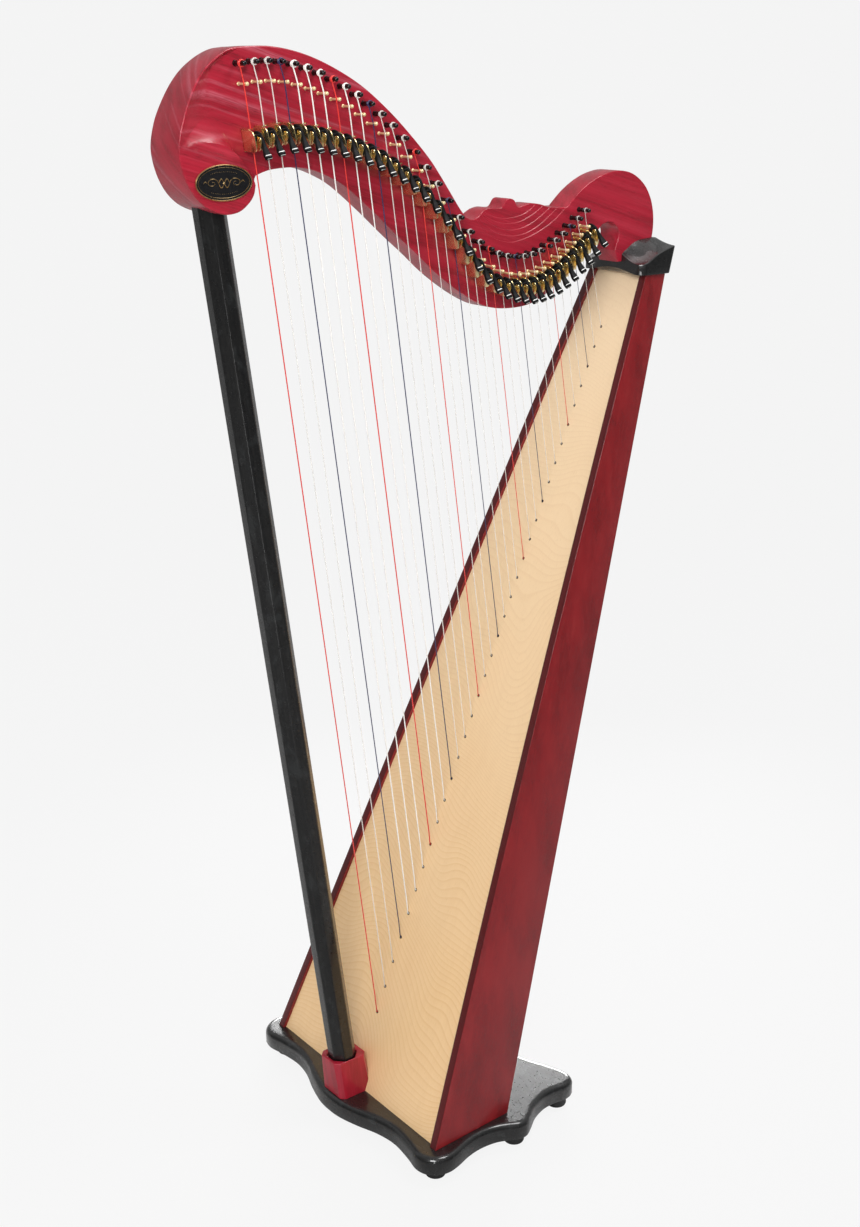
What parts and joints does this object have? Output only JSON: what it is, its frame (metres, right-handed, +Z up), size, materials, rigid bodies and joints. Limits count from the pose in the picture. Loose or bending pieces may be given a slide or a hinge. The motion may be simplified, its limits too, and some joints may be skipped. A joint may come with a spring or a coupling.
{
  "type": "lever harp",
  "caption": "Floor-standing lever harp: carved curved neck, eight-sided pillar, tapered soundbox on a footed base board, tuned strings and a turning sharping lever for each string.",
  "frame": {"origin": "floor level, under the middle of the harp's outline seen from above", "axes": "+Z up; +X from the pillar towards the player; strings, string ends of the tuning pins and levers are on the -Y face of the neck (the player's left)"},
  "size_m": [0.7434, 0.435, 1.4418],
  "materials": {
    "base_board": "black stain, gloss lacquer",
    "bridge_pins": "polished",
    "foot_front_left": "matt",
    "foot_front_right": "matt",
    "foot_mid_left": "matt",
    "foot_mid_right": "matt",
    "foot_rear_left": "matt",
    "foot_rear_right": "matt",
    "lever_01": "gloss, white stripe near the tip",
    "lever_02": "gloss, white stripe near the tip",
    "lever_03": "gloss, white stripe near the tip",
    "lever_04": "gloss, white stripe near the tip",
    "lever_05": "gloss, white stripe near the tip",
    "lever_06": "gloss, white stripe near the tip",
    "lever_07": "gloss, white stripe near the tip",
    "lever_08": "gloss, white stripe near the tip",
    "lever_09": "gloss, white stripe near the tip",
    "lever_10": "gloss, white stripe near the tip",
    "lever_11": "gloss, white stripe near the tip",
    "lever_12": "gloss, white stripe near the tip",
    "lever_13": "gloss, white stripe near the tip",
    "lever_14": "gloss, white stripe near the tip",
    "lever_15": "gloss, white stripe near the tip",
    "lever_16": "gloss, white stripe near the tip",
    "lever_17": "gloss, white stripe near the tip",
    "lever_18": "gloss, white stripe near the tip",
    "lever_19": "gloss, white stripe near the tip",
    "lever_20": "gloss, white stripe near the tip",
    "lever_21": "gloss, white stripe near the tip",
    "lever_22": "gloss, white stripe near the tip",
    "lever_23": "gloss, white stripe near the tip",
    "lever_24": "gloss, white stripe near the tip",
    "lever_25": "gloss, white stripe near the tip",
    "lever_26": "gloss, white stripe near the tip",
    "lever_27": "gloss, white stripe near the tip",
    "lever_28": "gloss, white stripe near the tip",
    "lever_29": "gloss, white stripe near the tip",
    "lever_30": "gloss, white stripe near the tip",
    "lever_31": "gloss, white stripe near the tip",
    "lever_32": "gloss, white stripe near the tip",
    "lever_33": "gloss, white stripe near the tip",
    "lever_34": "gloss, white stripe near the tip",
    "lever_brackets": "polished",
    "neck": "crimson stain, satin lacquer",
    "oval_plate": "polished rim, black enamel field",
    "pillar": "black stain, gloss lacquer",
    "pillar_block": "crimson stain, satin lacquer",
    "shoulder_block": "black stain, gloss lacquer",
    "soundboard": "natural, satin lacquer",
    "soundbox_back": "crimson stain, satin lacquer",
    "soundbox_side_left": "crimson stain, satin lacquer",
    "soundbox_side_right": "crimson stain, satin lacquer",
    "string_rib": "natural",
    "strings": "translucent nylon; C strings red, F strings dark blue",
    "tuning_pins": "blackened"
  },
  "bodies": {
    "harp_frame": {"base_board": "base_board", "bridge_pins": "bridge_pins", "foot_front_left": "foot_front_left", "foot_front_right": "foot_front_right", "foot_mid_left": "foot_mid_left", "foot_mid_right": "foot_mid_right", "foot_rear_left": "foot_rear_left", "foot_rear_right": "foot_rear_right", "lever_brackets": "lever_brackets", "neck": "neck", "oval_plate": "oval_plate", "pillar": "pillar", "pillar_block": "pillar_block", "shoulder_block": "shoulder_block", "soundboard": "soundboard", "soundbox_back": "soundbox_back", "soundbox_side_left": "soundbox_side_left", "soundbox_side_right": "soundbox_side_right", "string_rib": "string_rib", "strings": "strings", "tuning_pins": "tuning_pins"},
    "sharping_lever_01": {"lever_01": "lever_01"},
    "sharping_lever_02": {"lever_02": "lever_02"},
    "sharping_lever_03": {"lever_03": "lever_03"},
    "sharping_lever_04": {"lever_04": "lever_04"},
    "sharping_lever_05": {"lever_05": "lever_05"},
    "sharping_lever_06": {"lever_06": "lever_06"},
    "sharping_lever_07": {"lever_07": "lever_07"},
    "sharping_lever_08": {"lever_08": "lever_08"},
    "sharping_lever_09": {"lever_09": "lever_09"},
    "sharping_lever_10": {"lever_10": "lever_10"},
    "sharping_lever_11": {"lever_11": "lever_11"},
    "sharping_lever_12": {"lever_12": "lever_12"},
    "sharping_lever_13": {"lever_13": "lever_13"},
    "sharping_lever_14": {"lever_14": "lever_14"},
    "sharping_lever_15": {"lever_15": "lever_15"},
    "sharping_lever_16": {"lever_16": "lever_16"},
    "sharping_lever_17": {"lever_17": "lever_17"},
    "sharping_lever_18": {"lever_18": "lever_18"},
    "sharping_lever_19": {"lever_19": "lever_19"},
    "sharping_lever_20": {"lever_20": "lever_20"},
    "sharping_lever_21": {"lever_21": "lever_21"},
    "sharping_lever_22": {"lever_22": "lever_22"},
    "sharping_lever_23": {"lever_23": "lever_23"},
    "sharping_lever_24": {"lever_24": "lever_24"},
    "sharping_lever_25": {"lever_25": "lever_25"},
    "sharping_lever_26": {"lever_26": "lever_26"},
    "sharping_lever_27": {"lever_27": "lever_27"},
    "sharping_lever_28": {"lever_28": "lever_28"},
    "sharping_lever_29": {"lever_29": "lever_29"},
    "sharping_lever_30": {"lever_30": "lever_30"},
    "sharping_lever_31": {"lever_31": "lever_31"},
    "sharping_lever_32": {"lever_32": "lever_32"},
    "sharping_lever_33": {"lever_33": "lever_33"},
    "sharping_lever_34": {"lever_34": "lever_34"}
  },
  "joints": [
    {"name": "lever_turn_01", "type": "hinge", "parent": "harp_frame", "child": "sharping_lever_01", "pos_m": [-0.27291, -0.0419, 1.34296], "axis": [-0.9893, 0, -0.1458], "range_deg": [0, 80]},
    {"name": "lever_turn_02", "type": "hinge", "parent": "harp_frame", "child": "sharping_lever_02", "pos_m": [-0.25537, -0.0419, 1.34634], "axis": [-0.9891, 0, -0.1472], "range_deg": [0, 80]},
    {"name": "lever_turn_03", "type": "hinge", "parent": "harp_frame", "child": "sharping_lever_03", "pos_m": [-0.23786, -0.0419, 1.34859], "axis": [-0.9889, 0, -0.1486], "range_deg": [0, 80]},
    {"name": "lever_turn_04", "type": "hinge", "parent": "harp_frame", "child": "sharping_lever_04", "pos_m": [-0.2204, -0.0419, 1.34889], "axis": [-0.9887, 0, -0.15], "range_deg": [0, 80]},
    {"name": "lever_turn_05", "type": "hinge", "parent": "harp_frame", "child": "sharping_lever_05", "pos_m": [-0.20318, -0.0419, 1.34741], "axis": [-0.9884, 0, -0.1516], "range_deg": [0, 80]},
    {"name": "lever_turn_06", "type": "hinge", "parent": "harp_frame", "child": "sharping_lever_06", "pos_m": [-0.18596, -0.0419, 1.34503], "axis": [-0.9882, 0, -0.1531], "range_deg": [0, 80]},
    {"name": "lever_turn_07", "type": "hinge", "parent": "harp_frame", "child": "sharping_lever_07", "pos_m": [-0.16884, -0.0419, 1.34158], "axis": [-0.988, 0, -0.1546], "range_deg": [0, 80]},
    {"name": "lever_turn_08", "type": "hinge", "parent": "harp_frame", "child": "sharping_lever_08", "pos_m": [-0.15183, -0.0419, 1.33703], "axis": [-0.9877, 0, -0.1562], "range_deg": [0, 80]},
    {"name": "lever_turn_09", "type": "hinge", "parent": "harp_frame", "child": "sharping_lever_09", "pos_m": [-0.13495, -0.0419, 1.33126], "axis": [-0.9874, 0, -0.158], "range_deg": [0, 80]},
    {"name": "lever_turn_10", "type": "hinge", "parent": "harp_frame", "child": "sharping_lever_10", "pos_m": [-0.11831, -0.0419, 1.32501], "axis": [-0.9871, 0, -0.1599], "range_deg": [0, 80]},
    {"name": "lever_turn_11", "type": "hinge", "parent": "harp_frame", "child": "sharping_lever_11", "pos_m": [-0.10179, -0.0419, 1.3175], "axis": [-0.9868, 0, -0.162], "range_deg": [0, 80]},
    {"name": "lever_turn_12", "type": "hinge", "parent": "harp_frame", "child": "sharping_lever_12", "pos_m": [-0.0854, -0.0419, 1.30882], "axis": [-0.9864, 0, -0.1643], "range_deg": [0, 80]},
    {"name": "lever_turn_13", "type": "hinge", "parent": "harp_frame", "child": "sharping_lever_13", "pos_m": [-0.06899, -0.0419, 1.29827], "axis": [-0.986, 0, -0.167], "range_deg": [0, 80]},
    {"name": "lever_turn_14", "type": "hinge", "parent": "harp_frame", "child": "sharping_lever_14", "pos_m": [-0.05264, -0.0419, 1.28622], "axis": [-0.9854, 0, -0.17], "range_deg": [0, 80]},
    {"name": "lever_turn_15", "type": "hinge", "parent": "harp_frame", "child": "sharping_lever_15", "pos_m": [-0.03634, -0.0419, 1.27228], "axis": [-0.9848, 0, -0.1736], "range_deg": [0, 80]},
    {"name": "lever_turn_16", "type": "hinge", "parent": "harp_frame", "child": "sharping_lever_16", "pos_m": [-0.02005, -0.0419, 1.25623], "axis": [-0.984, 0, -0.178], "range_deg": [0, 80]},
    {"name": "lever_turn_17", "type": "hinge", "parent": "harp_frame", "child": "sharping_lever_17", "pos_m": [-0.00376, -0.0419, 1.23868], "axis": [-0.9831, 0, -0.1831], "range_deg": [0, 80]},
    {"name": "lever_turn_18", "type": "hinge", "parent": "harp_frame", "child": "sharping_lever_18", "pos_m": [0.01285, -0.0419, 1.2184], "axis": [-0.9819, 0, -0.1892], "range_deg": [0, 80]},
    {"name": "lever_turn_19", "type": "hinge", "parent": "harp_frame", "child": "sharping_lever_19", "pos_m": [0.02931, -0.0419, 1.19852], "axis": [-0.9806, 0, -0.1961], "range_deg": [0, 80]},
    {"name": "lever_turn_20", "type": "hinge", "parent": "harp_frame", "child": "sharping_lever_20", "pos_m": [0.0455, -0.0419, 1.18141], "axis": [-0.9791, 0, -0.2036], "range_deg": [0, 80]},
    {"name": "lever_turn_21", "type": "hinge", "parent": "harp_frame", "child": "sharping_lever_21", "pos_m": [0.06137, -0.0419, 1.16856], "axis": [-0.9775, 0, -0.211], "range_deg": [0, 80]},
    {"name": "lever_turn_22", "type": "hinge", "parent": "harp_frame", "child": "sharping_lever_22", "pos_m": [0.07663, -0.0419, 1.16035], "axis": [-0.9758, 0, -0.2185], "range_deg": [0, 80]},
    {"name": "lever_turn_23", "type": "hinge", "parent": "harp_frame", "child": "sharping_lever_23", "pos_m": [0.09154, -0.0419, 1.15471], "axis": [-0.974, 0, -0.2266], "range_deg": [0, 80]},
    {"name": "lever_turn_24", "type": "hinge", "parent": "harp_frame", "child": "sharping_lever_24", "pos_m": [0.10615, -0.0419, 1.1513], "axis": [-0.9719, 0, -0.2354], "range_deg": [0, 80]},
    {"name": "lever_turn_25", "type": "hinge", "parent": "harp_frame", "child": "sharping_lever_25", "pos_m": [0.1204, -0.0419, 1.15048], "axis": [-0.9695, 0, -0.2449], "range_deg": [0, 80]},
    {"name": "lever_turn_26", "type": "hinge", "parent": "harp_frame", "child": "sharping_lever_26", "pos_m": [0.13448, -0.0419, 1.15154], "axis": [-0.9669, 0, -0.255], "range_deg": [0, 80]},
    {"name": "lever_turn_27", "type": "hinge", "parent": "harp_frame", "child": "sharping_lever_27", "pos_m": [0.14842, -0.0419, 1.15442], "axis": [-0.9641, 0, -0.2657], "range_deg": [0, 80]},
    {"name": "lever_turn_28", "type": "hinge", "parent": "harp_frame", "child": "sharping_lever_28", "pos_m": [0.16217, -0.0419, 1.15911], "axis": [-0.9608, 0, -0.2772], "range_deg": [0, 80]},
    {"name": "lever_turn_29", "type": "hinge", "parent": "harp_frame", "child": "sharping_lever_29", "pos_m": [0.17561, -0.0419, 1.16553], "axis": [-0.957, 0, -0.2902], "range_deg": [0, 80]},
    {"name": "lever_turn_30", "type": "hinge", "parent": "harp_frame", "child": "sharping_lever_30", "pos_m": [0.18868, -0.0419, 1.17336], "axis": [-0.9522, 0, -0.3056], "range_deg": [0, 80]},
    {"name": "lever_turn_31", "type": "hinge", "parent": "harp_frame", "child": "sharping_lever_31", "pos_m": [0.2013, -0.0419, 1.18233], "axis": [-0.9459, 0, -0.3245], "range_deg": [0, 80]},
    {"name": "lever_turn_32", "type": "hinge", "parent": "harp_frame", "child": "sharping_lever_32", "pos_m": [0.21355, -0.0419, 1.19211], "axis": [-0.9376, 0, -0.3478], "range_deg": [0, 80]},
    {"name": "lever_turn_33", "type": "hinge", "parent": "harp_frame", "child": "sharping_lever_33", "pos_m": [0.22555, -0.0419, 1.20246], "axis": [-0.9264, 0, -0.3765], "range_deg": [0, 80]},
    {"name": "lever_turn_34", "type": "hinge", "parent": "harp_frame", "child": "sharping_lever_34", "pos_m": [0.23743, -0.0419, 1.21311], "axis": [-0.9113, 0, -0.4117], "range_deg": [0, 80]}
  ]
}
